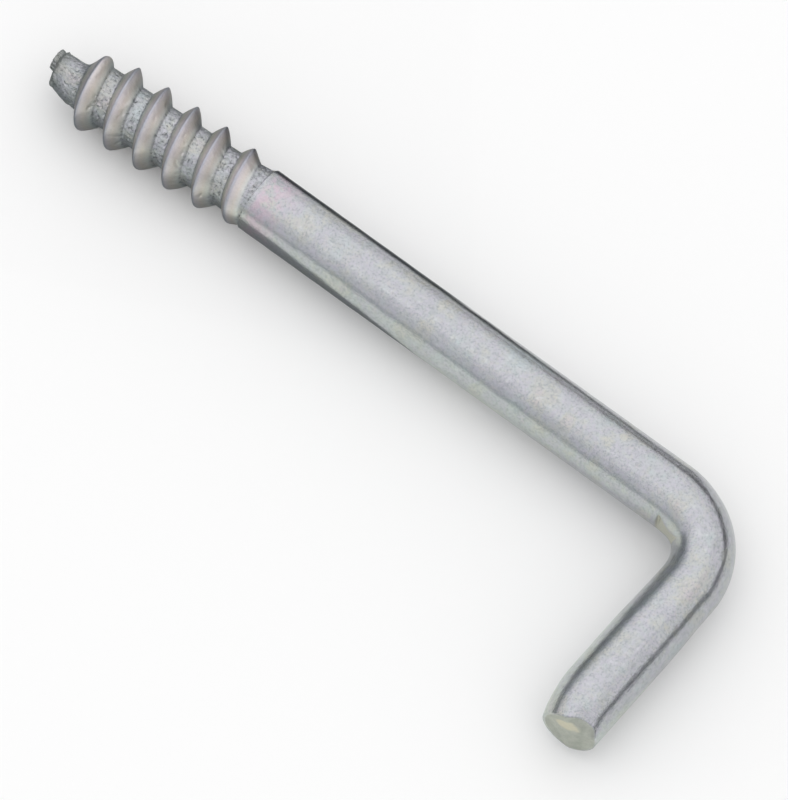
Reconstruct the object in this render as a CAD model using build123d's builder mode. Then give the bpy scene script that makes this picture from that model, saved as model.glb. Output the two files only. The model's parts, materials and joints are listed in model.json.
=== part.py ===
from build123d import *
import os
from math import cos, pi, radians, sin

# Screw hook: one length of steel wire with a wood thread rolled on one end and a square bend at the
# other, zinc plated afterwards. It is one piece, so it is one solid.
#
# The origin is on the wire's axis at the shoulder, where the thread meets the plain shank. The shank
# runs along +X to the bend and the leg turns off towards -Y. The hook lies flat, with +Z up.

# ---- Wire: shank, bend and leg ------------------------------------------------------------------
wire_diameter = 5.0
shank_length = 37.0            # from the shoulder to the start of the bend
bend_outer_radius = 7.8        # of the outside of the bend
bend_thinning = 0.4            # the wire's diameter is this much less halfway round
bend_angle = 91.9              # turned a touch past square, so the leg leans back towards the thread
leg_length = 13.8              # from the end of the bend to the middle of the sheared end

# ---- Mark that the bending edge pressed into the inside of the bend -------------------------------
mark_depth = 0.3               # below the inner surface, halfway round the bend
mark_start = 0.45              # past the start of the bend
mark_start_depth = 0.29        # below the shank's surface there

# ---- Sheared end of the leg -----------------------------------------------------------------------
shear_slant = 12.0             # the inner side of the cut stands further out than the outer side
shear_lift = 3.0               # the cut face looks up a little
roll_length = 4.6              # the blade rolled the inner side over this far from the end
roll_depth = 0.85              # how far the rolled side has moved in at the cut

# ---- Thread -----------------------------------------------------------------------------------------
thread_diameter = 6.2          # over the crests
core_diameter = 4.16           # at the bottom between two ridges
thread_pitch = 2.6
thread_length = 16.4           # from the shoulder to where the ridge starts, inside the tip
thread_phase = 0.84            # where the ridge would stand at the top of the shoulder, along the axis
thread_lean = 2.0              # the thread was rolled slightly out of line, towards the leg
crest_width = 0.28
ridge_width = 1.66             # at the core
ridge_foot = 0.6               # radius of the ridge's foot, deep inside the core and the tip
ridge_start_height = 0.35      # above its foot, where the ridge starts, still inside the tip
ridge_knee = 0.25              # the flanks run on this far below the core's surface
ridge_rise = 2.0               # length over which the first ridge grows at the tip
ridge_fade = 6.0               # length over which the last ridge sinks to the shank's own size
collar_diameter = 4.6          # the core swells to this against the shoulder
collar_length = 2.6

# ---- Sections in each loft ---------------------------------------------------------------------------
bend_steps = 8                 # round the whole bend
ridge_steps_per_turn = 12
roll_shares = (0, 0.35, 0.7, 1.0, 1.2)         # along the rolled end; 1 is the cut, the last is past it

# ---- Tip: a blunt stub, off centre, that ends in a torn nib -----------------------------------------
stub_start = 14.4              # from the shoulder, where the core begins to close in
stub_middle = 16.2
stub_middle_diameter = 3.1
stub_middle_offset = -0.38     # towards the leg
stub_end = 17.3
stub_end_diameter = 2.3
stub_end_offset = -0.12
nib_end = 18.2
nib_diameter = 1.5
nib_offset = 0.42              # away from the leg

# ---- Values that follow from the sizes above ---------------------------------------------------------
wire_radius = wire_diameter / 2
thread_radius = thread_diameter / 2
core_radius = core_diameter / 2
collar_radius = collar_diameter / 2
flank_slope = (ridge_width - crest_width) / 2 / (thread_radius - core_radius)
hidden_crest = ridge_foot + ridge_start_height
ridge_start = -thread_length
ridge_end = ridge_width / 2                    # far enough into the shank to be wholly inside it
ridge_steps = round((ridge_end - ridge_start) / thread_pitch * ridge_steps_per_turn)

bend_radius = bend_outer_radius - wire_radius
turn = radians(bend_angle)
bend_centre = Vector(shank_length, -bend_radius, 0)
leg_start = bend_centre + Vector(sin(turn), cos(turn), 0) * bend_radius
leg_direction = Vector(cos(turn), -sin(turn), 0)
inward = Vector(-sin(turn), -cos(turn), 0)      # from the leg's axis towards the thread's side


def smooth(value):
    """Rises from 0 to 1 as the value goes from 0 to 1, level at both ends."""
    value = min(1.0, max(0.0, value))
    return value * value * (3 - 2 * value)


def crest_radius_at(x):
    """Radius over the ridge's crest, at x along the thread's axis (the tip is at negative x)."""
    risen = smooth((x - ridge_start) / ridge_rise)
    near_shoulder = max(0.0, 1 + x / ridge_fade)
    full = thread_radius - (thread_radius - wire_radius) * near_shoulder ** 2
    return hidden_crest + (full - hidden_crest) * risen


def across_thread(x, offset=0.0):
    """A plane square to the thread's axis, at x along it, with its middle moved sideways."""
    return Plane(origin=(x, offset, 0), x_dir=(0, 1, 0), z_dir=(1, 0, 0))


def across_leg(distance, moved_out=0.0):
    """A plane square to the leg's axis, at a distance from the bend, with its middle moved outward."""
    middle = leg_start + leg_direction * distance - inward * moved_out
    return Plane(origin=middle, x_dir=inward, z_dir=leg_direction)


def across_bend(share):
    """A plane square to the wire at a share of the bend, and the wire's radius there."""
    radius = wire_radius - bend_thinning / 2 * sin(pi * share) ** 2
    outward = Vector(sin(turn * share), cos(turn * share), 0)
    onward = Vector(cos(turn * share), -sin(turn * share), 0)
    middle = bend_centre + outward * (bend_outer_radius - radius)
    return Plane(origin=middle, x_dir=-outward, z_dir=onward), radius


# ---- Ridge: one right-hand helix, lofted turn by turn -------------------------------------------------
# Each section lies in a plane that holds the thread's axis.
with BuildPart() as thread_ridge:
    for first in range(0, ridge_steps, ridge_steps_per_turn):
        for step in range(first, min(first + ridge_steps_per_turn, ridge_steps) + 1):
            x = ridge_start + thread_pitch * step / ridge_steps_per_turn
            angle = radians(360 * (x - thread_phase) / thread_pitch)
            radial = Vector(0, -sin(angle), cos(angle))
            crest = crest_radius_at(x)
            share = (crest - ridge_foot) / (thread_radius - ridge_foot)
            knee = ridge_foot + (core_radius - ridge_knee - ridge_foot) * share
            crest_half = crest_width / 2
            knee_half = crest_half + flank_slope * (crest - knee)
            with BuildSketch(Plane(origin=(x, 0, 0), x_dir=(1, 0, 0), z_dir=Vector(1, 0, 0).cross(radial))):
                Polygon(
                    (-knee_half, ridge_foot),
                    (-knee_half, knee),
                    (-crest_half, crest),
                    (crest_half, crest),
                    (knee_half, knee),
                    (knee_half, ridge_foot),
                    align=None,
                )
        loft(clean=False)

# ---- Thread: a turned core with a swollen collar, the closing tip, and the ridge ----------------------
with BuildPart() as thread:
    with BuildSketch(Plane.XY):
        with BuildLine():
            Line((-stub_start, 0), (-stub_start, core_radius))
            Line((-stub_start, core_radius), (-collar_length, core_radius))
            Spline(
                (-collar_length, core_radius),
                (0, collar_radius),
                tangents=((1, 0), (1, 0)),
            )
            Line((0, collar_radius), (wire_radius, collar_radius))
            Line((wire_radius, collar_radius), (wire_radius, 0))
            Line((wire_radius, 0), (-stub_start, 0))
        make_face()
    revolve(axis=Axis.X)

    # The tip closes in, moves off centre and ends in the torn nib.
    with BuildSketch(across_thread(-stub_start)):
        Circle(core_radius)
    with BuildSketch(across_thread(-stub_middle, stub_middle_offset)):
        Circle(stub_middle_diameter / 2)
    with BuildSketch(across_thread(-stub_end, stub_end_offset)):
        Circle(stub_end_diameter / 2)
    with BuildSketch(across_thread(-nib_end, nib_offset)):
        Circle(nib_diameter / 2)
    loft()

    add(thread_ridge.part)

# ---- The hook ---------------------------------------------------------------------------------------
with BuildPart() as screw_hook:
    # Shank, bend and leg: round wire all the way, a little thinner where it was stretched round the bend.
    with BuildSketch(Plane.YZ):
        Circle(wire_radius)
    extrude(amount=shank_length)
    for step in range(bend_steps + 1):
        section, radius = across_bend(step / bend_steps)
        with BuildSketch(section):
            Circle(radius)
    loft()
    with BuildSketch(across_leg(0)):
        Circle(wire_radius)
    extrude(amount=leg_length - roll_length)

    # The end that the shear rolled over: round sections that shrink towards the outer side.
    for share in roll_shares:
        sunk = roll_depth * share ** 2
        with BuildSketch(across_leg(leg_length - roll_length * (1 - share), sunk / 2)):
            Circle(wire_radius - sunk / 2)
    loft()

    # The cut itself, one slanted plane through the middle of the end.
    shear_plane = Plane(
        origin=leg_start + leg_direction * leg_length,
        x_dir=inward,
        z_dir=leg_direction,
    ).rotated((shear_lift, -shear_slant, 0))
    split(bisect_by=shear_plane, keep=Keep.BOTTOM)

    # The pressed mark: an upright flat that starts just past the shank and stops dead halfway round.
    outward = Vector(sin(turn / 2), cos(turn / 2), 0)
    inner_radius = bend_outer_radius - wire_diameter + bend_thinning
    mark_corner = bend_centre + outward * (inner_radius + mark_depth)
    with BuildSketch(Plane.XY.offset(-wire_diameter)):
        with BuildLine():
            Polyline(
                Vector(shank_length + mark_start, mark_start_depth - wire_radius, 0),
                mark_corner,
                bend_centre,
                close=True,
            )
        make_face()
    extrude(amount=2 * wire_diameter, mode=Mode.SUBTRACT)

    # The thread, turned about the shoulder by its lean.
    add(thread.part, rotation=(0, 0, thread_lean))

screw_hook.part.label = "screw_hook"

os.makedirs("parts", exist_ok=True)
export_step(screw_hook.part, "parts/screw_hook.step")

box = screw_hook.part.bounding_box()
print("solids", len(screw_hook.part.solids()), "volume", round(screw_hook.part.volume, 2))
print("box", [round(v, 2) for v in (*box.min, *box.max)])
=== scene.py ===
# %% [markdown]
# # A zinc-plated screw hook
#
# The real hook is one length of round steel wire. One end was rolled between dies into a wood thread,
# the other end was bent square and sheared off, and the whole thing was zinc plated afterwards.
# Its form follows a rule: a round section carried along a path, with a helical ridge on the first part.
# That suits a Geometry Nodes skin, where each point's place is worked out from two numbers: how far it
# is along the wire, and how far round it is.

# %% Load the frame
import json

import bmesh
from math import atan2, cos, pi, radians, sin

import bpy
from mathutils import Matrix, Vector


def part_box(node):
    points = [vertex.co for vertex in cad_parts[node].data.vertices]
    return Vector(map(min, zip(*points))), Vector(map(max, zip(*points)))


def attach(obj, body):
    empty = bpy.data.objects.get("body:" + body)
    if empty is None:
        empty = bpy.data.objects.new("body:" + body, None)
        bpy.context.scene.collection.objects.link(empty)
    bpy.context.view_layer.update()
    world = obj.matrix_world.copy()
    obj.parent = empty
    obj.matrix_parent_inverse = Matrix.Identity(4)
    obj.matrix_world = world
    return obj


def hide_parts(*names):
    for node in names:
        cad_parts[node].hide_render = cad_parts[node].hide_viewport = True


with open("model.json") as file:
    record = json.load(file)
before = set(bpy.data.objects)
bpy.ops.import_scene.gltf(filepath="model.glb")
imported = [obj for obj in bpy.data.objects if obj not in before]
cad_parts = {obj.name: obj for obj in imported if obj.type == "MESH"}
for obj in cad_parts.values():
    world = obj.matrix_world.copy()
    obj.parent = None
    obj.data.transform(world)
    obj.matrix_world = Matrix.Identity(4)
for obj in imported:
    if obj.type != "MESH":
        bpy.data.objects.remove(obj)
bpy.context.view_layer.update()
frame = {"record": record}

MM = 1000.0

# %% [markdown]
# ## Sizes from the frame
#
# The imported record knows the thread's axis and the straight wall of the leg. From those two come the
# wire's radius, the angle and radius of the bend and the length of the shank, so the skin lies on the
# CAD solid with no fitting. Millimetres are easier to read in a part this small, so the skin is worked
# out in millimetres and scaled once at the end.

# %% Read the hook's main sizes
mounts = {mount["name"]: mount for mount in frame["record"]["mounts"]}
box_low, box_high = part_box("screw_hook")
leg_mount = mounts["hook_leg"]
thread_axis = mounts["wood_thread"]["axis"]

WIRE = leg_mount["dims"]["r_mm"]
LEG_PLAIN = leg_mount["dims"]["length_mm"]
TURN = atan2(-leg_mount["axis"][1], leg_mount["axis"][0])
leg_way = Vector((cos(TURN), -sin(TURN), 0))
leg_start = Vector(leg_mount["pos_m"]) * MM - leg_way * (LEG_PLAIN / 2)
BEND = -leg_start.y / (1 - cos(TURN))
SHANK = leg_start.x - BEND * sin(TURN)
LEAN = atan2(-thread_axis[1], -thread_axis[0])
CREST = box_high.z * MM
TIP = -box_low.x * MM
print(f"wire {WIRE:.2f}, bend {BEND:.2f}, shank {SHANK:.2f}, crest {CREST:.2f}, tip {TIP:.2f} mm")

# %% [markdown]
# ## The hook's own small sizes
#
# These are the marks of how it was made: the thread's form, the blunt stub with its torn nib, the flat
# that the bending edge pressed into the inside of the bend, and the end that the shear rolled over.

# %% Name the small sizes, in millimetres
PITCH = 2.6
PHASE = 0.80
ROOT = 2.08
COLLAR = 2.28
RIDGE_TOP_HALF = 0.05
RIDGE_TIP_FOOT = 0.68
RIDGE_SHANK_FOOT = 1.0
RIDGE_FADE = 6.0
ROLL = 4.8
ROLL_DEPTH = 0.95
LEG = LEG_PLAIN + 4.6
SLANT = 0.24
LIFT = 0.10
THINNING = 0.2
NECK = 0.11
MARK_DEPTH = 0.30
MARK_START = 0.45
MARK_START_DEPTH = 0.29
NOTCH_TURN = 0.5
NOTCH_DEPTH = 0.38

# %% [markdown]
# ## Sums written as sums
#
# A node tree is a sum drawn as boxes and wires. Long sums are hard to read that way, so a small class
# lets Python write them: adding two fields makes an Add node and gives back its output.

# %% A field that can be added and multiplied
class Field:
    def __init__(self, tree, socket):
        self.tree = tree
        self.socket = socket

    def math(self, operation, *others):
        node = self.tree.nodes.new("ShaderNodeMath")
        node.operation = operation
        for place, value in enumerate((self, *others)):
            if isinstance(value, Field):
                self.tree.links.new(value.socket, node.inputs[place])
            else:
                node.inputs[place].default_value = value
        return Field(self.tree, node.outputs[0])

    def __add__(self, other):
        return self.math("ADD", other)

    def __sub__(self, other):
        return self.math("SUBTRACT", other)

    def __mul__(self, other):
        return self.math("MULTIPLY", other)

    def __truediv__(self, other):
        return self.math("DIVIDE", other)

    def __neg__(self):
        return self * -1.0

    def least(self, other):
        return self.math("MINIMUM", other)

    def most(self, other):
        return self.math("MAXIMUM", other)

    def step(self, low, high, start=0.0, end=1.0, kind="SMOOTHSTEP"):
        """Goes from start to end as this field goes from low to high, and stays there."""
        node = self.tree.nodes.new("ShaderNodeMapRange")
        node.interpolation_type = kind
        node.clamp = True
        self.tree.links.new(self.socket, node.inputs["Value"])
        for name, value in zip(("From Min", "From Max", "To Min", "To Max"), (low, high, start, end)):
            if isinstance(value, Field):
                self.tree.links.new(value.socket, node.inputs[name])
            else:
                node.inputs[name].default_value = value
        return Field(self.tree, node.outputs["Result"])


def join(tree, x, y, z):
    """Three fields as one vector socket."""
    node = tree.nodes.new("ShaderNodeCombineXYZ")
    for place, value in enumerate((x, y, z)):
        if isinstance(value, Field):
            tree.links.new(value.socket, node.inputs[place])
        else:
            node.inputs[place].default_value = value
    return node.outputs[0]


def noise(tree, vector, scale, detail=3.0, roughness=0.55, seed=0.0):
    """A 4D noise field, where the fourth number is the fixed seed."""
    node = tree.nodes.new("ShaderNodeTexNoise")
    node.noise_dimensions = "4D"
    tree.links.new(vector, node.inputs["Vector"])
    node.inputs["W"].default_value = seed
    node.inputs["Scale"].default_value = scale
    node.inputs["Detail"].default_value = detail
    node.inputs["Roughness"].default_value = roughness
    return Field(tree, node.outputs[0])

# %% [markdown]
# ## Rows along the wire
#
# The skin starts as a flat grid. Its rows are shared out along the wire by what each stretch needs: the
# thread has fine detail and takes half of them, while the plain shank could do with very few. The two
# ends are closed by rows that shrink to a single point.

# %% Share out the rows
ROWS = {
    "nib_cap": 10, "thread": 296, "shoulder": 4, "shank": 76,
    "bend": 96, "leg": 46, "roll": 52, "cap": 22,
}
COLUMNS = 144
row_count = sum(ROWS.values()) + 1
print("rows", row_count, "columns", COLUMNS, "triangles about", 2 * row_count * COLUMNS)

# %% [markdown]
# ## The skin's tree
#
# Each point knows its row and its column. The row gives the distance along the wire, the column gives
# the angle round it, and the radius follows from both: the ridge is a bump that moves on by one pitch
# in each turn. The same tree presses the flat into the bend, rolls the sheared end over, and pits the
# bottom of the thread, where the rolling dies left the steel torn.

# %% Build the skin's tree
tree = bpy.data.node_groups.new("hook_skin", "GeometryNodeTree")
tree.interface.new_socket("Geometry", in_out="INPUT", socket_type="NodeSocketGeometry")
tree.interface.new_socket("Geometry", in_out="OUTPUT", socket_type="NodeSocketGeometry")
SKIN_SIZES = {
    "Wire radius": WIRE, "Shank length": SHANK, "Bend radius": BEND, "Bend turn": TURN, "Leg length": LEG,
    "Thread lean": LEAN, "Crest radius": CREST, "Root radius": ROOT, "Collar radius": COLLAR,
    "Pitch": PITCH, "Phase": PHASE, "Tip length": TIP, "Pit depth": 0.16,
}
for name in SKIN_SIZES:
    tree.interface.new_socket(name, in_out="INPUT", socket_type="NodeSocketFloat")
tree.interface.new_socket("Finish", in_out="INPUT", socket_type="NodeSocketMaterial")
group_in = tree.nodes.new("NodeGroupInput")
group_out = tree.nodes.new("NodeGroupOutput")
size = {name: Field(tree, group_in.outputs[name]) for name in SKIN_SIZES}

# %% [markdown]
# Each point starts on a flat square. Its place on the square becomes two numbers: a row, counted from the
# tip to the sheared end, and an angle round the wire, from the top towards the leg's side. Each stretch of
# the wire then has its own share, which goes from 0 to 1 while the row is inside that stretch.

# %% Rows and columns
grid = tree.nodes.new("GeometryNodeMeshGrid")
grid.inputs["Size X"].default_value = 1.0
grid.inputs["Size Y"].default_value = 1.0
grid.inputs["Vertices X"].default_value = row_count
grid.inputs["Vertices Y"].default_value = COLUMNS + 1
place = tree.nodes.new("GeometryNodeInputPosition")
split_place = tree.nodes.new("ShaderNodeSeparateXYZ")
tree.links.new(place.outputs[0], split_place.inputs[0])
row = (Field(tree, split_place.outputs[0]) + 0.5) * (row_count - 1.0)
angle = (Field(tree, split_place.outputs[1]) + 0.5) * (2 * pi)
share = {}
first = 0
for stretch, rows in ROWS.items():
    share[stretch] = row.step(first, first + rows, kind="LINEAR")
    first += rows

# %% [markdown]
# Adding up the shares, each times its stretch's real length, gives the distance along the wire. The
# shoulder is a very short stretch, so the step down to the thread stays crisp.

# %% Distance along the wire, from the tip at minus TIP through the shoulder at 0
bend_length = size["Bend radius"] * size["Bend turn"]
shoulder = 0.02
along = (
    share["thread"] * size["Tip length"] - size["Tip length"]
    + share["shoulder"] * shoulder
    + share["shank"] * (size["Shank length"] - shoulder)
    + share["bend"] * bend_length
    + share["leg"] * (size["Leg length"] - ROLL)
    + share["roll"] * ROLL
)
on_thread = along.step(-0.001, 0.0, 1.0, 0.0, kind="LINEAR")
cap = share["nib_cap"] * (-share["cap"] + 1.0)
up = angle.math("COSINE")
inward = angle.math("SINE")

# %% [markdown]
# A rolled thread has no metal cut away: the dies push the wire down in the roots and up in the ridges, so
# the crests stand prouder than the wire. Here the ridge is the distance from the nearest crest turned into
# a height. The flank on the tip's side is steeper. The stub closes in off centre, as the dies left it.

# %% The thread: core, ridge and stub
turn_shift = along - size["Pitch"] * angle / (2 * pi) - size["Phase"]
half_pitch = size["Pitch"] * 0.5
from_crest = turn_shift.math("WRAP", half_pitch, -half_pitch)
stub = (
    along.step(-14.4, -16.2, 0.0, ROOT - 1.55)
    + along.step(-16.2, -17.5, 0.0, 0.2, kind="LINEAR")
    + along.step(-17.5, -17.9, 0.0, 0.55)
)
stub_shift = (
    along.step(-14.4, -16.2, 0.0, 0.38) + along.step(-16.2, -17.3, 0.0, -0.14)
    + along.step(-17.4, -18.0, 0.0, -0.56)
)
core = size["Root radius"] + along.step(-2.6, 0.0, 0.0, COLLAR - ROOT) - stub
near_shoulder = (along / RIDGE_FADE + 1.0).most(0.0)
crest_drop = size["Crest radius"] - size["Wire radius"]
full_crest = size["Crest radius"] - crest_drop * near_shoulder * near_shoulder
crest = core + (full_crest - core) * along.step(-16.3, -14.3)
tip_flank = from_crest.step(-RIDGE_TIP_FOOT, -RIDGE_TOP_HALF, kind="LINEAR")
shank_flank = from_crest.step(RIDGE_SHANK_FOOT, RIDGE_TOP_HALF, kind="LINEAR")
flank_share = tip_flank.least(shank_flank)
ridge = flank_share * 1.35 - flank_share * flank_share * 0.35
thread_radius = core + (crest - core).most(0.0) * ridge

# %% [markdown]
# Bending stretches the outside and squeezes the inside, so the wire gets a little thinner halfway round.
# The shear rolled the inner side of the end over before it cut through. Both are small changes to the
# radius, with the outer side held where it was.

# %% The plain wire: thinned round the bend, necked beyond it, rolled over at the end
after_shank = along - size["Shank length"]
bent = (after_shank / size["Bend radius"]).most(0.0).least(size["Bend turn"])
past_bend = (after_shank - bend_length).most(0.0)
bend_share = bent / size["Bend turn"]
stretched = (bend_share * pi).math("SINE")
thin = stretched * stretched * THINNING + bend_share.step(0.5, 1.0) * past_bend.step(5.5, 0.0) * NECK
rolled = share["roll"] * share["roll"] * share["roll"] * ROLL_DEPTH
wire_radius = size["Wire radius"] - thin - rolled * 0.5

# %% [markdown]
# The roots of the thread are torn into small pits and the nib is a rough break. Noise gives both, and its
# seed is fixed, so the same hook comes out each time.

# %% The roughness of torn and sheared steel
wire_place = join(tree, along, up * size["Wire radius"] * cap, inward * size["Wire radius"] * cap)
in_root = (-ridge + 1.0) * on_thread
torn_tip = along.step(-16.6, -17.6) * on_thread
pits = noise(tree, wire_place, 2.6, detail=4.0, seed=3.1).step(0.54, 0.70) * in_root
lumps = (noise(tree, wire_place, 1.5, detail=5.0, roughness=0.7, seed=8.4) - 0.5) * torn_tip
grain = (noise(tree, wire_place, 0.9, detail=2.0, seed=5.2) - 0.5) * 0.05
radius = thread_radius * on_thread + wire_radius * (-on_thread + 1.0)
radius = radius + grain - pits * size["Pit depth"] + lumps * 0.55

# %% [markdown]
# The middle of the section runs straight, turns round the bend and runs straight again. The thread's own
# line leans a little out of true. Adding the radius in the section's own directions gives the skin.

# %% The middle of the section, and the way from it to each point
middle_x = along.least(size["Shank length"]) * (-on_thread + 1.0)
bend_sin = bent.math("SINE")
bend_cos = bent.math("COSINE")
out_shift = thin * stretched + rolled * 0.5
middle_x = middle_x + bend_sin * size["Bend radius"] + past_bend * bend_cos + bend_sin * out_shift
middle_y = (bend_cos - 1.0) * size["Bend radius"] - past_bend * bend_sin + bend_cos * out_shift
lean_cos = size["Thread lean"].math("COSINE")
lean_sin = size["Thread lean"].math("SINE")
thread_y = inward * radius * cap + stub_shift
middle_x = middle_x + along * lean_cos * on_thread + thread_y * lean_sin * on_thread
across = inward * radius * cap
height = up * radius * cap
skin_x = middle_x - across * bend_sin
thread_line_y = along * lean_sin - thread_y * lean_cos
skin_y = middle_y - across * bend_cos * (-on_thread + 1.0) + thread_line_y * on_thread

# %% [markdown]
# The shear blade leaves a slanted face. The same slant moves every point near the end, most at the rim
# and not at all further up, and a small notch marks where the edge of the blade broke through.

# %% The slanted cut, with a soft lip where the blade came through
near_end = share["roll"].step(0.55, 1.0)
cut = (across * SLANT - height * LIFT) * near_end
toward_notch = up * cos(NOTCH_TURN) - inward * sin(NOTCH_TURN)
rim_notch = toward_notch.step(0.72, 1.0) * (-share["cap"].step(0.0, 0.45) + 1.0)
cut = cut - rim_notch * share["roll"].step(0.7, 1.0) * NOTCH_DEPTH
face_noise = noise(tree, wire_place, 0.8, detail=4.0, seed=1.7) - 0.5
centre_out = share["cap"].step(0.0, 0.12) * 0.06
cut = cut + centre_out + face_noise * share["cap"].step(0.0, 0.3) * 0.12
skin_x = skin_x + bend_cos * cut
skin_y = skin_y - bend_sin * cut

# %% [markdown]
# The wire was bent over a sharp edge, which left a small flat in the inside of the bend. Points that stand
# past the flat are moved back onto it, over the first half of the bend only.

# %% The flat that the bending edge pressed in
half_turn = TURN / 2
corner_reach = BEND - WIRE + THINNING * 2 + MARK_DEPTH
corner = Vector((SHANK + corner_reach * sin(half_turn), -BEND + corner_reach * cos(half_turn)))
flat_start = Vector((SHANK + MARK_START, MARK_START_DEPTH - WIRE))
flat_way = (corner - flat_start).normalized()
flat_out = Vector((flat_way.y, -flat_way.x))
proud = (skin_x - flat_start.x) * flat_out.x + (skin_y - flat_start.y) * flat_out.y
flat_begins = bend_share.step(0.085, 0.10, kind="LINEAR")
flat_stops = bend_share.step(0.505, 0.50, kind="LINEAR")
pressed = proud.most(0.0) * flat_stops * flat_begins
skin_x = skin_x - pressed * flat_out.x
skin_y = skin_y - pressed * flat_out.y
print(f"the flat runs {(corner - flat_start).length:.2f} mm along the inside of the bend")

# %% [markdown]
# The last step sets the points and stores the numbers that the finish will need, such as how far down the
# ridge's flank a point is. The seam and the two closed ends are welded, so the skin has no open edge.

# %% Set the points, keep what the finish needs, close the seam and the two poles
to_metres = 1 / MM
set_place = tree.nodes.new("GeometryNodeSetPosition")
tree.links.new(grid.outputs["Mesh"], set_place.inputs["Geometry"])
final_place = join(tree, skin_x * to_metres, skin_y * to_metres, height * to_metres)


def keep(geometry, name, value, kind="FLOAT"):
    """Stores a field on the points under a name that the material can read."""
    node = tree.nodes.new("GeometryNodeStoreNamedAttribute")
    node.data_type = kind
    node.domain = "POINT"
    node.inputs["Name"].default_value = name
    tree.links.new(geometry, node.inputs["Geometry"])
    tree.links.new(value.socket if isinstance(value, Field) else value, node.inputs["Value"])
    return node.outputs["Geometry"]


kept = keep(grid.outputs["Mesh"], "along_wire", wire_place, "FLOAT_VECTOR")
kept = keep(kept, "ridge", ridge * on_thread * along.step(-16.0, -14.8))
kept = keep(kept, "flank", from_crest * on_thread)
kept = keep(kept, "threaded", on_thread)
kept = keep(kept, "torn", torn_tip)
kept = keep(kept, "cut_face", share["cap"].step(0.0, 0.06))
kept = keep(kept, "pressed", (pressed * 20.0).least(1.0))
tree.links.new(kept, set_place.inputs["Geometry"])
tree.links.new(final_place, set_place.inputs["Position"])
weld = tree.nodes.new("GeometryNodeMergeByDistance")
weld.inputs["Distance"].default_value = 0.5e-6
tree.links.new(set_place.outputs[0], weld.inputs["Geometry"])
smooth_shade = tree.nodes.new("GeometryNodeSetShadeSmooth")
tree.links.new(weld.outputs[0], smooth_shade.inputs["Geometry"])
realize = tree.nodes.new("GeometryNodeRealizeInstances")
tree.links.new(smooth_shade.outputs[0], realize.inputs[0])
set_finish = tree.nodes.new("GeometryNodeSetMaterial")
tree.links.new(realize.outputs[0], set_finish.inputs["Geometry"])
tree.links.new(group_in.outputs["Finish"], set_finish.inputs["Material"])
tree.links.new(set_finish.outputs[0], group_out.inputs[0])

# %% [markdown]
# ## The zinc finish
#
# Bright zinc plating is a soft satin metal. Its thin passivation film gives it faint stains of lilac,
# cyan and straw yellow, and the drawn wire shows through as fine lines along its length. The film
# colours are one node group and the drawn lines are another, so both can be used in any metal.

# %% Film colours, as a group
def shader_group(name, inputs, outputs):
    """A new shader node group with float inputs and the outputs named."""
    group = bpy.data.node_groups.new(name, "ShaderNodeTree")
    for label, kind, value in inputs:
        socket = group.interface.new_socket(label, in_out="INPUT", socket_type=kind)
        if value is not None:
            socket.default_value = value
    for label, kind in outputs:
        group.interface.new_socket(label, in_out="OUTPUT", socket_type=kind)
    return group, group.nodes.new("NodeGroupInput"), group.nodes.new("NodeGroupOutput")


def ramp(tree, fac, stops, mode="LINEAR"):
    """A colour ramp with the stops given as (place, colour)."""
    node = tree.nodes.new("ShaderNodeValToRGB")
    node.color_ramp.interpolation = mode
    points = node.color_ramp.elements
    while len(points) < len(stops):
        points.new(0.5)
    for point, (where, colour) in zip(points, stops):
        point.position = where
        point.color = (*colour, 1.0)
    tree.links.new(fac.socket, node.inputs[0])
    return node.outputs[0]


def mix(tree, fac, first_colour, second_colour, blend="MIX"):
    """Mixes two colours by a field or a number."""
    node = tree.nodes.new("ShaderNodeMix")
    node.data_type = "RGBA"
    node.blend_type = blend
    sockets = (node.inputs[0], node.inputs[6], node.inputs[7])
    for value, socket in zip((fac, first_colour, second_colour), sockets):
        if isinstance(value, Field):
            tree.links.new(value.socket, socket)
        elif isinstance(value, bpy.types.NodeSocket):
            tree.links.new(value, socket)
        else:
            socket.default_value = value
    return node.outputs[2]


LILAC = (0.515, 0.50, 0.56)
ROSE = (0.55, 0.50, 0.52)
STRAW = (0.53, 0.53, 0.49)
CYAN = (0.47, 0.535, 0.55)
PLAIN = (0.50, 0.52, 0.535)

film, film_in, film_out = shader_group(
    "film_colours",
    (
        ("Vector", "NodeSocketVector", None),
        ("Seed", "NodeSocketFloat", 0.0),
        ("Scale", "NodeSocketFloat", 0.5),
    ),
    (("Color", "NodeSocketColor"),),
)
cloud = noise(film, film_in.outputs["Vector"], 0.5, detail=3.0, roughness=0.6)
film.links.new(film_in.outputs["Seed"], cloud.socket.node.inputs["W"])
film.links.new(film_in.outputs["Scale"], cloud.socket.node.inputs["Scale"])
FILM_STOPS = (
    (0.30, CYAN), (0.40, PLAIN), (0.47, LILAC),
    (0.53, PLAIN), (0.60, STRAW), (0.72, ROSE),
)
film.links.new(ramp(film, cloud, FILM_STOPS), film_out.inputs[0])

# %% [markdown]
# The wire was drawn through a die, which leaves fine lines along it. Noise squeezed along the wire looks
# the same, and it is far lighter than an image of scratches.

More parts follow.
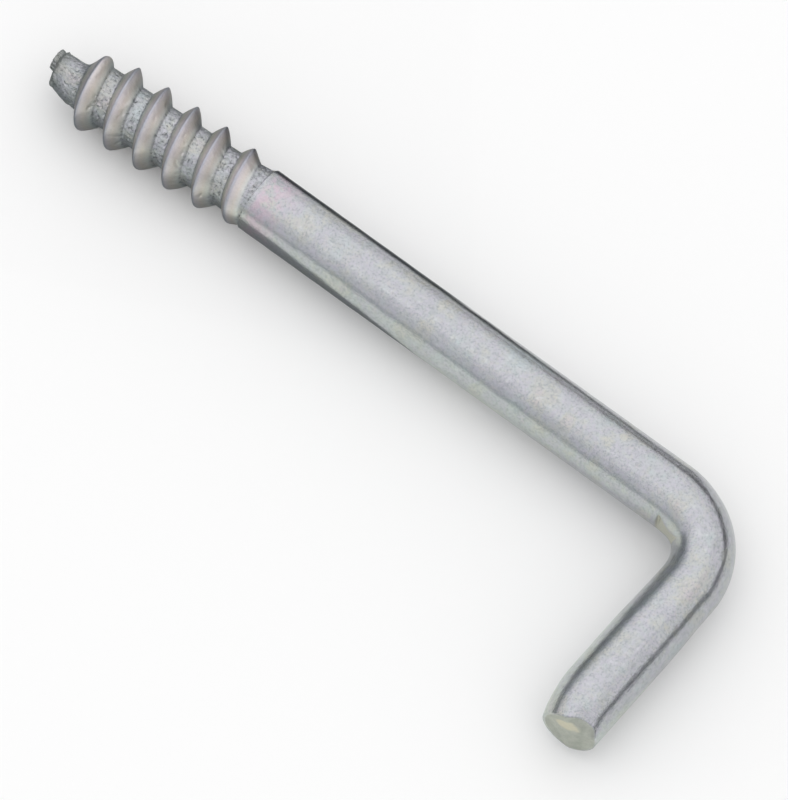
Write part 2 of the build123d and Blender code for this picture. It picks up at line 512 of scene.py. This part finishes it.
# %% Drawn lines, as a group
lines, lines_in, lines_out = shader_group(
    "drawn_lines",
    (
        ("Vector", "NodeSocketVector", None),
        ("Stretch", "NodeSocketFloat", 0.12),
        ("Scale", "NodeSocketFloat", 3.0),
    ),
    (("Fac", "NodeSocketFloat"),),
)
lines_split = lines.nodes.new("ShaderNodeSeparateXYZ")
lines.links.new(lines_in.outputs["Vector"], lines_split.inputs[0])
squeezed = Field(lines, lines_split.outputs[0]) * Field(lines, lines_in.outputs["Stretch"])
lines_up = Field(lines, lines_split.outputs[1])
lines_in_way = Field(lines, lines_split.outputs[2])
lines_place = join(lines, squeezed, lines_up, lines_in_way)
streaks = noise(lines, lines_place, 3.0, detail=4.0, roughness=0.65, seed=2.0)
lines.links.new(lines_in.outputs["Scale"], streaks.socket.node.inputs["Scale"])
lines.links.new(streaks.socket, lines_out.inputs[0])

# %% [markdown]
# The material is one metal for the whole hook. What changes from place to place is kept by the skin, so
# small functions fetch those values and place the groups.

# %% The zinc material
zinc = bpy.data.materials.new("zinc_plate")
zinc.use_nodes = True
shade = zinc.node_tree
bsdf = shade.nodes["Principled BSDF"]
bsdf.inputs["Metallic"].default_value = 1.0


def attribute(name, output="Fac"):
    """A value that the skin kept, as a field of the material."""
    node = shade.nodes.new("ShaderNodeAttribute")
    node.attribute_name = name
    return Field(shade, node.outputs[output])


def use_group(group, vector, **values):
    """Places a shader group in the zinc material."""
    node = shade.nodes.new("ShaderNodeGroup")
    node.node_tree = group
    shade.links.new(vector, node.inputs["Vector"])
    for name, value in values.items():
        node.inputs[name].default_value = value
    return node.outputs[0]


wire_vector = attribute("along_wire", "Vector").socket
threaded = attribute("threaded")
on_ridge = attribute("ridge")
flank = attribute("flank")
torn = attribute("torn")
cut_face = attribute("cut_face")
pressed_flat = attribute("pressed")

# %% [markdown]
# The colour is built up in the order it happened: the film over everything, specks and lines of the wire
# showing through, straw and rose bands on the flanks where the film is thicker, dark pits, and last the
# bare look of the torn tip, the cut and the pressed flat.

# %% Colour: cloudy film, mottled specks, and bands down the thread's flanks
film_colour = use_group(film, wire_vector, Seed=4.0, Scale=0.42)
small_film = use_group(film, wire_vector, Seed=11.0, Scale=2.6)
colour = mix(shade, 0.35, film_colour, small_film)
mottle = noise(shade, wire_vector, 5.5, detail=5.0, roughness=0.7, seed=6.0)
colour = mix(shade, mottle.step(0.46, 0.64, 0.0, 0.60), colour, (0.30, 0.325, 0.34, 1.0))
cloud = noise(shade, wire_vector, 1.7, detail=4.0, roughness=0.65, seed=31.0)
colour = mix(shade, cloud.step(0.52, 0.72, 0.0, 0.40), colour, (0.35, 0.37, 0.39, 1.0))
colour = mix(shade, cloud.step(0.46, 0.30, 0.0, 0.35), colour, (0.66, 0.68, 0.69, 1.0))
streak = Field(shade, use_group(lines, wire_vector, Stretch=0.10, Scale=3.2))
colour = mix(shade, streak.step(0.48, 0.72, 0.0, 0.36), colour, (0.38, 0.40, 0.43, 1.0))
CREST_EDGE = (0.44, 0.44, 0.52)
BAND_STOPS = (
    (0.05, (0.80, 0.82, 0.80)), (0.28, (0.74, 0.72, 0.60)), (0.40, (0.84, 0.74, 0.76)),
    (0.485, CREST_EDGE), (0.515, CREST_EDGE), (0.58, (0.80, 0.72, 0.74)),
    (0.74, (0.86, 0.76, 0.68)), (0.92, (0.82, 0.84, 0.80)),
)
band = ramp(shade, (flank + 1.0) / 2.0, BAND_STOPS)
colour = mix(shade, on_ridge.step(0.02, 0.35, 0.0, 0.60), colour, band)
root_noise = noise(shade, wire_vector, 4.0, detail=4.0, roughness=0.7, seed=9.0)
in_root_mask = threaded * on_ridge.step(0.32, 0.06)
colour = mix(shade, root_noise.step(0.50, 0.64) * in_root_mask * 0.75, colour, (0.13, 0.14, 0.14, 1.0))
colour = mix(shade, torn * 0.6, colour, (0.30, 0.31, 0.29, 1.0))
wire_split = shade.nodes.new("ShaderNodeSeparateXYZ")
shade.links.new(wire_vector, wire_split.inputs[0])
from_shoulder = Field(shade, wire_split.outputs[0])
blush = from_shoulder.step(0.1, 0.6) * from_shoulder.step(4.0, 1.0) * cloud.step(0.62, 0.42)
colour = mix(shade, blush * 0.6, colour, (0.60, 0.46, 0.54, 1.0))
face_split = shade.nodes.new("ShaderNodeSeparateXYZ")
shade.links.new(wire_vector, face_split.inputs[0])
patch_up = Field(shade, face_split.outputs[1]) - 1.1
patch_in = Field(shade, face_split.outputs[2]) - 0.3
patch_far = patch_up * patch_up * 1.8 + patch_in * patch_in * 0.6
face_cloud = noise(shade, wire_vector, 1.2, detail=4.0, seed=14.0)
face_colour = mix(shade, face_cloud.step(0.35, 0.65), (0.36, 0.365, 0.33, 1.0), (0.46, 0.46, 0.42, 1.0))
patch = (patch_far + (face_cloud - 0.5) * 1.5).step(1.0, 0.3)
face_colour = mix(shade, patch, face_colour, (0.62, 0.57, 0.46, 1.0))
colour = mix(shade, cut_face * 0.85, colour, face_colour)
colour = mix(shade, pressed_flat * 0.8, colour, (0.66, 0.65, 0.52, 1.0))
shade.links.new(colour, bsdf.inputs["Base Color"])

# %% [markdown]
# The shank is satin, while the thread and the cut are duller. The bump is less than a tenth of a
# millimetre, just enough to break up the reflections.

# %% Gloss and grain
rough = (
    mottle.step(0.35, 0.75, 0.15, 0.27)
    + threaded * 0.20 + torn * 0.12 + cut_face * 0.2
)
shade.links.new(rough.socket, bsdf.inputs["Roughness"])
bump = shade.nodes.new("ShaderNodeBump")
bump.inputs["Strength"].default_value = 0.35
bump.inputs["Distance"].default_value = 0.00006
fine = noise(shade, wire_vector, 9.0, detail=4.0, roughness=0.6, seed=21.0)
relief = mottle * 0.5 + streak * 0.6 + fine * 0.35 + root_noise * in_root_mask * 1.5 + fine * cut_face
shade.links.new(relief.socket, bump.inputs["Height"])
shade.links.new(bump.outputs[0], bsdf.inputs["Normal"])

# %% [markdown]
# ## Make the piece
#
# The tree is run once, its result is taken as a plain mesh, and the object that carried the tree is
# removed. The plain mesh then rides on the frame in place of the CAD solid.

# %% Run the tree and keep its mesh
carrier = bpy.data.objects.new("skin_carrier", bpy.data.meshes.new("skin_carrier"))
bpy.context.scene.collection.objects.link(carrier)
modifier = carrier.modifiers.new("hook_skin", "NODES")
modifier.node_group = tree
for item in tree.interface.items_tree:
    if item.in_out == "INPUT" and item.name in SKIN_SIZES:
        modifier[item.identifier] = SKIN_SIZES[item.name]
    if item.in_out == "INPUT" and item.name == "Finish":
        modifier[item.identifier] = zinc
evaluated = carrier.evaluated_get(bpy.context.evaluated_depsgraph_get())
mesh = bpy.data.meshes.new_from_object(evaluated)
mesh.name = "zinc_plated_hook"
bpy.data.objects.remove(carrier)

# %% [markdown]
# A closed skin has a positive volume when its faces look outward, so the sign of the volume tells whether
# to turn them over. The noise could push a crest past the CAD box, so each point is held inside it.

# %% Turn the faces outward if they lie inside out, and keep the skin inside the CAD box
work = bmesh.new()
work.from_mesh(mesh)
if work.calc_volume(signed=True) < 0:
    bmesh.ops.reverse_faces(work, faces=work.faces)
for point in work.verts:
    point.co = Vector(
        min(max(value, low), high) for value, low, high in zip(point.co, box_low, box_high)
    )
open_edges = sum(1 for edge in work.edges if not edge.is_manifold)
volume = work.calc_volume(signed=True) * MM ** 3
work.to_mesh(mesh)
work.free()
triangles = sum(len(face.vertices) - 2 for face in mesh.polygons)
print(f"triangles {triangles}, open edges {open_edges}, volume {volume:.0f} mm3")

# %% [markdown]
# The hook has one of each.

# %% Put the hook on the frame
hook = bpy.data.objects.new("zinc_plated_hook", mesh)
bpy.context.scene.collection.objects.link(hook)
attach(hook, "root")
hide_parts("screw_hook")

# %% [markdown]
# ## Floor and light
#
# Metal looks like what it reflects. A pale floor and a white sky give it its broad soft highlight, and
# one dark band, low down all round, draws the thin dark line along its far edge. Studios stand
# black card round shiny things for the same reason.

# %% Pale floor
def plain_material(name, colour, roughness=0.9):
    made = bpy.data.materials.new(name)
    made.use_nodes = True
    made.node_tree.nodes["Principled BSDF"].inputs["Base Color"].default_value = (*colour, 1.0)
    made.node_tree.nodes["Principled BSDF"].inputs["Roughness"].default_value = roughness
    return made


FLOOR_HALF = 4.0
floor_mesh = bpy.data.meshes.new("floor")
floor_mesh.from_pydata(
    [(x, y, box_low.z) for x, y in ((-FLOOR_HALF, -FLOOR_HALF), (FLOOR_HALF, -FLOOR_HALF),
                                    (FLOOR_HALF, FLOOR_HALF), (-FLOOR_HALF, FLOOR_HALF))],
    [], [(0, 1, 2, 3)],
)
floor = bpy.data.objects.new("floor", floor_mesh)
floor_mesh.materials.append(plain_material("pale_floor", (0.95, 0.95, 0.95)))
bpy.context.scene.collection.objects.link(floor)

# %% [markdown]
# Black cards make the dark lines, grey ones soften the near side, and pale ones on the floor set how
# bright the rims look. The dark one on the floor to the left is painted shade: it stands in for the
# shadowed floor on that side, as the metal reflects it. None of them shows, lights anything or casts a
# shadow.

# %% Cards, seen only in the metal
CARD_RADIUS = 0.32
CARD_SIDES = 96
# Each card runs between two compass angles and two heights above the floor, all in degrees.
CARDS = {
    "far_black": (50, 101, 2, 16, (0.012, 0.014, 0.016)),
    "right_dark": (-25, 50, 2, 16, (0.09, 0.10, 0.105)),
    "left_dark": (128, 205, 1, 15, (0.20, 0.225, 0.23)),
    "left_grey": (128, 205, 13, 27, (0.50, 0.53, 0.54)),
    "near_grey": (205, 335, 0, 12, (0.50, 0.53, 0.52)),
    "near_pale": (205, 335, 12, 42, (0.80, 0.81, 0.83)),
    "far_floor": (-25, 128, 0, 0, (0.85, 0.86, 0.85)),
    # Painted shade: a dark floor card for the shadowed floor on the left, seen only in the metal.
    "left_floor_painted_shade": (128, 205, 0, 0, (0.28, 0.30, 0.30)),
    "near_floor": (205, 335, 0, 0, (0.94, 0.98, 0.92)),
}


def only_reflected(thing):
    """Keeps a card out of sight, out of the soft light and out of the shadows."""
    thing.visible_camera = False
    thing.visible_diffuse = False
    thing.visible_shadow = False


def card(name, start, end, low, high, colour):
    """A curved card on edge, or a flat one on the floor when it has no height."""
    points = []
    faces = []
    for side in range(CARD_SIDES + 1):
        way = radians(start + (end - start) * side / CARD_SIDES)
        inner_radius = CARD_RADIUS if high else 0.0
        points.append((inner_radius * cos(way), inner_radius * sin(way), CARD_RADIUS * radians(low)))
        points.append((CARD_RADIUS * cos(way), CARD_RADIUS * sin(way), CARD_RADIUS * radians(high)))
        if side:
            faces.append((2 * side - 2, 2 * side, 2 * side + 1, 2 * side - 1))
    card_mesh = bpy.data.meshes.new(name)
    lift = 0.0 if high else box_low.z + 0.00002
    card_mesh.from_pydata([(x + 0.02, y, z + lift) for x, y, z in points], [], faces)
    card_mesh.materials.append(plain_material(name, colour))
    made = bpy.data.objects.new(name, card_mesh)
    bpy.context.scene.collection.objects.link(made)
    only_reflected(made)


for card_name, card_sizes in CARDS.items():
    card(card_name, *card_sizes)

# A narrow black strip lies close beside the shank and swings away from it towards the bend.
# It is painted shadow: seen only in the metal, it stands in for the floor's shade beside the wire.
SHADE_STRIP_OUTLINE = ((-0.006, 0.006), (0.018, 0.008), (0.038, 0.022), (0.040, 0.070), (0.018, 0.030), (-0.006, 0.017))
shade_strip_mesh = bpy.data.meshes.new("painted_shadow_strip")
shade_strip_mesh.from_pydata([(x, y, box_low.z + 0.00004) for x, y in SHADE_STRIP_OUTLINE], [], [(0, 1, 4, 5), (1, 2, 3, 4)])
shade_strip_mesh.materials.append(plain_material("painted_shadow_strip", (0.03, 0.035, 0.04)))
strip = bpy.data.objects.new("painted_shadow_strip", shade_strip_mesh)
bpy.context.scene.collection.objects.link(strip)
only_reflected(strip)
print("cards", len(CARDS) + 1)

# %% [markdown]
# The sky gives nearly all the light. One large lamp adds just enough direction for a soft shadow.

# %% Sky and one soft lamp
world = bpy.data.worlds.new("studio")
bpy.context.scene.world = world
world.use_nodes = True
world.node_tree.nodes["Background"].inputs["Color"].default_value = (1.0, 1.0, 1.0, 1.0)
world.node_tree.nodes["Background"].inputs["Strength"].default_value = 0.96

lamp_data = bpy.data.lights.new("softbox", "AREA")
lamp_data.shape = "RECTANGLE"
lamp_data.size = 0.9
lamp_data.size_y = 0.9
lamp_data.energy = 0.55
lamp = bpy.data.objects.new("softbox", lamp_data)
lamp.location = (-0.15, 0.12, 0.6)
lamp.rotation_euler = (Vector(lamp.location) * -1).to_track_quat("-Z", "Y").to_euler()
bpy.context.scene.collection.objects.link(lamp)

# %% [markdown]
# ## Camera
#
# A long lens from a good arm's length away, looking steeply down at the hook as it lies flat.

# %% Camera
AIM = Vector((0.01716, -0.00652, 0.0))
AZIMUTH, ELEVATION, ROLL_ANGLE = radians(28.352), radians(65.016), radians(9.707)
DISTANCE = 0.7539
back = Vector((sin(AZIMUTH) * cos(ELEVATION), -cos(AZIMUTH) * cos(ELEVATION), sin(ELEVATION)))
level = Vector((cos(AZIMUTH), sin(AZIMUTH), 0))
upright = back.cross(level)
right = level * cos(ROLL_ANGLE) + upright * sin(ROLL_ANGLE)
camera_data = bpy.data.cameras.new("camera")
camera_data.lens = 475.4
camera_data.sensor_width = 36.0
camera_data.clip_start, camera_data.clip_end = 0.01, 20.0
camera = bpy.data.objects.new("camera", camera_data)
turned = Matrix((right, back.cross(right), back)).transposed().to_4x4()
camera.matrix_world = Matrix.Translation(AIM + back * DISTANCE) @ turned
bpy.context.scene.collection.objects.link(camera)
bpy.context.scene.camera = camera
bpy.context.scene.view_settings.view_transform = "Standard"
